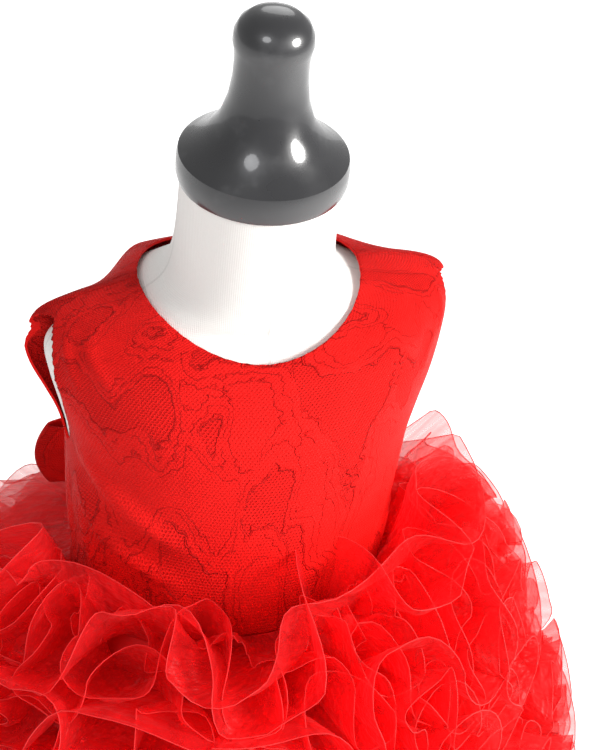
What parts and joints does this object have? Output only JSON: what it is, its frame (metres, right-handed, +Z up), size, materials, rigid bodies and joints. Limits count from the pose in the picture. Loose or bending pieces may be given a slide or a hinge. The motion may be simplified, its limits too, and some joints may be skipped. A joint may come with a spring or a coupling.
{
  "type": "child's ruffle dress on a limbless dress form with a stand",
  "caption": "Child's sleeveless party dress, lace bodice over a full ruffled organza skirt with a back bow, on a limbless dress form and round stand.",
  "frame": {"origin": "on the floor under the middle of the stand's foot", "axes": "+Z up; the dress faces -Y and its wearer's left side is at +X"},
  "size_m": [0.5644, 0.5512, 0.9735],
  "materials": {
    "lace": "red corded lace over red satin",
    "satin": "red satin, soft sheen",
    "organza": "sheer red organza with a corded edge",
    "form_cloth": "white linen cover",
    "black_wood": "glossy black lacquer",
    "stand_metal": "black satin paint"
  },
  "bodies": {
    "root": {"bodice_front": "lace", "bodice_back_left": "lace", "bodice_back_right": "lace", "underskirt_front": "satin", "underskirt_left": "satin", "underskirt_back": "satin", "underskirt_right": "satin", "ruffle_1": "organza", "ruffle_2": "organza", "ruffle_3": "organza", "ruffle_4": "organza", "ruffle_5": "organza", "ruffle_6": "organza", "ruffle_7": "organza", "ruffle_8": "organza", "bow_wing_right": "lace", "bow_wing_left": "lace", "bow_band": "lace", "form_torso": "form_cloth", "form_neck_cap": "black_wood", "stand_collar": "stand_metal", "stand_pole": "stand_metal", "stand_foot": "stand_metal"}
  },
  "joints": []
}
